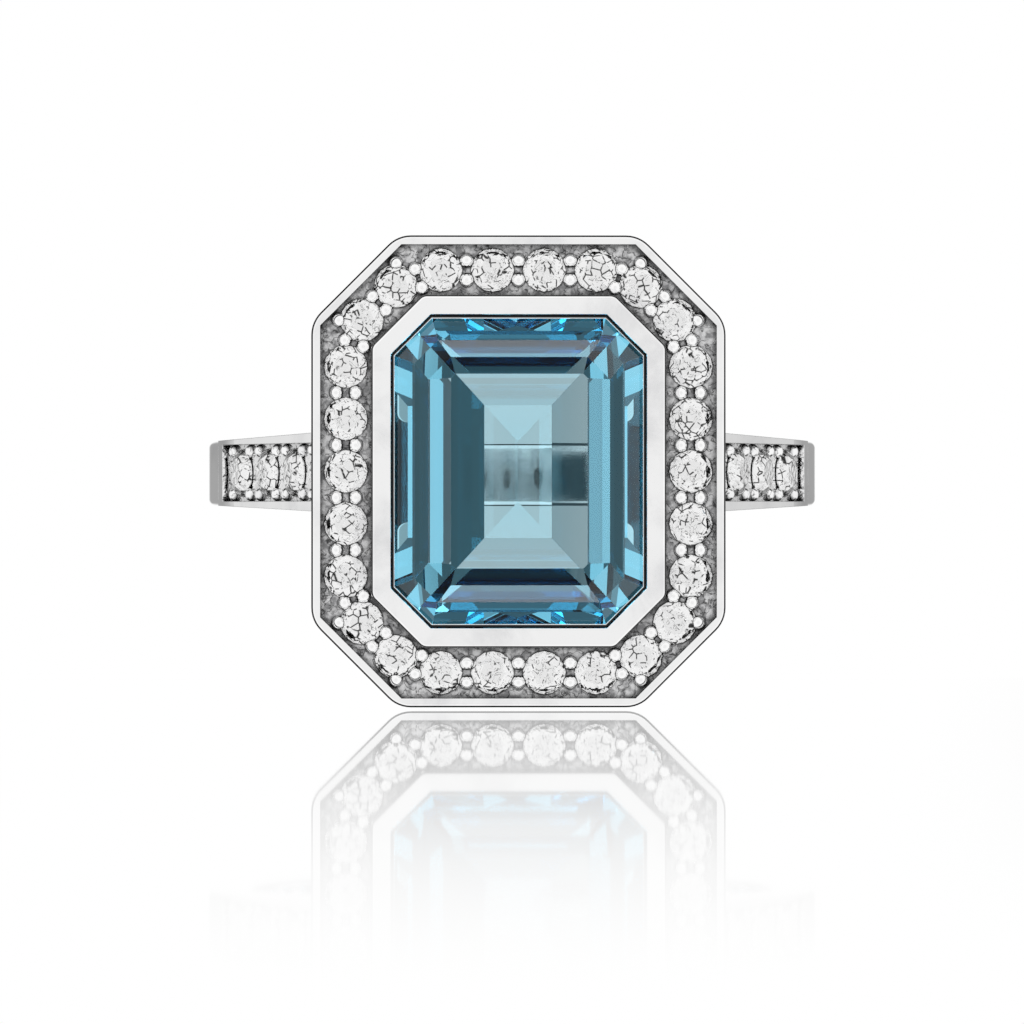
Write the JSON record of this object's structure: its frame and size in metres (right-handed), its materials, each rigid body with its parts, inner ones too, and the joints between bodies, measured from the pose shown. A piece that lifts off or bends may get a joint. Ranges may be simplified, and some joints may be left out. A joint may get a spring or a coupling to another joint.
{
  "type": "cocktail ring",
  "caption": "Cocktail ring: blue emerald-cut stone in a bezel, octagonal halo of small clear stones in a rimmed channel, plain band with stone-set shoulders.",
  "frame": {"origin": "centre of the finger hole, at the middle of the band's width", "axes": "+Z along the finger's axis; the setting is at -Y and its face looks along -Y; +X across the finger, to the right of a viewer who looks at the face"},
  "size_m": [0.0202, 0.0247, 0.0148],
  "materials": {
    "polished_white_metal": "rhodium-plated silver, polished",
    "set_white_metal": "rhodium-plated silver, graver-cut bed with polished grains",
    "blue_stone": "transparent sky blue, faceted and polished",
    "clear_stone": "colourless, faceted and polished"
  },
  "bodies": {
    "root": {"shank": "polished_white_metal", "shoulder_left": "polished_white_metal", "shoulder_right": "polished_white_metal", "halo_rim": "polished_white_metal", "bezel": "polished_white_metal", "gallery": "polished_white_metal", "halo_plate": "set_white_metal", "centre_stone": "blue_stone", "halo_stone_01": "clear_stone", "halo_stone_02": "clear_stone", "halo_stone_03": "clear_stone", "halo_stone_04": "clear_stone", "halo_stone_05": "clear_stone", "halo_stone_06": "clear_stone", "halo_stone_07": "clear_stone", "halo_stone_08": "clear_stone", "halo_stone_09": "clear_stone", "halo_stone_10": "clear_stone", "halo_stone_11": "clear_stone", "halo_stone_12": "clear_stone", "halo_stone_13": "clear_stone", "halo_stone_14": "clear_stone", "halo_stone_15": "clear_stone", "halo_stone_16": "clear_stone", "halo_stone_17": "clear_stone", "halo_stone_18": "clear_stone", "halo_stone_19": "clear_stone", "halo_stone_20": "clear_stone", "halo_stone_21": "clear_stone", "halo_stone_22": "clear_stone", "halo_stone_23": "clear_stone", "halo_stone_24": "clear_stone", "halo_stone_25": "clear_stone", "halo_stone_26": "clear_stone", "shoulder_stone_left_1": "clear_stone", "shoulder_stone_left_2": "clear_stone", "shoulder_stone_left_3": "clear_stone", "shoulder_stone_left_4": "clear_stone", "shoulder_stone_right_1": "clear_stone", "shoulder_stone_right_2": "clear_stone", "shoulder_stone_right_3": "clear_stone", "shoulder_stone_right_4": "clear_stone"}
  },
  "joints": []
}
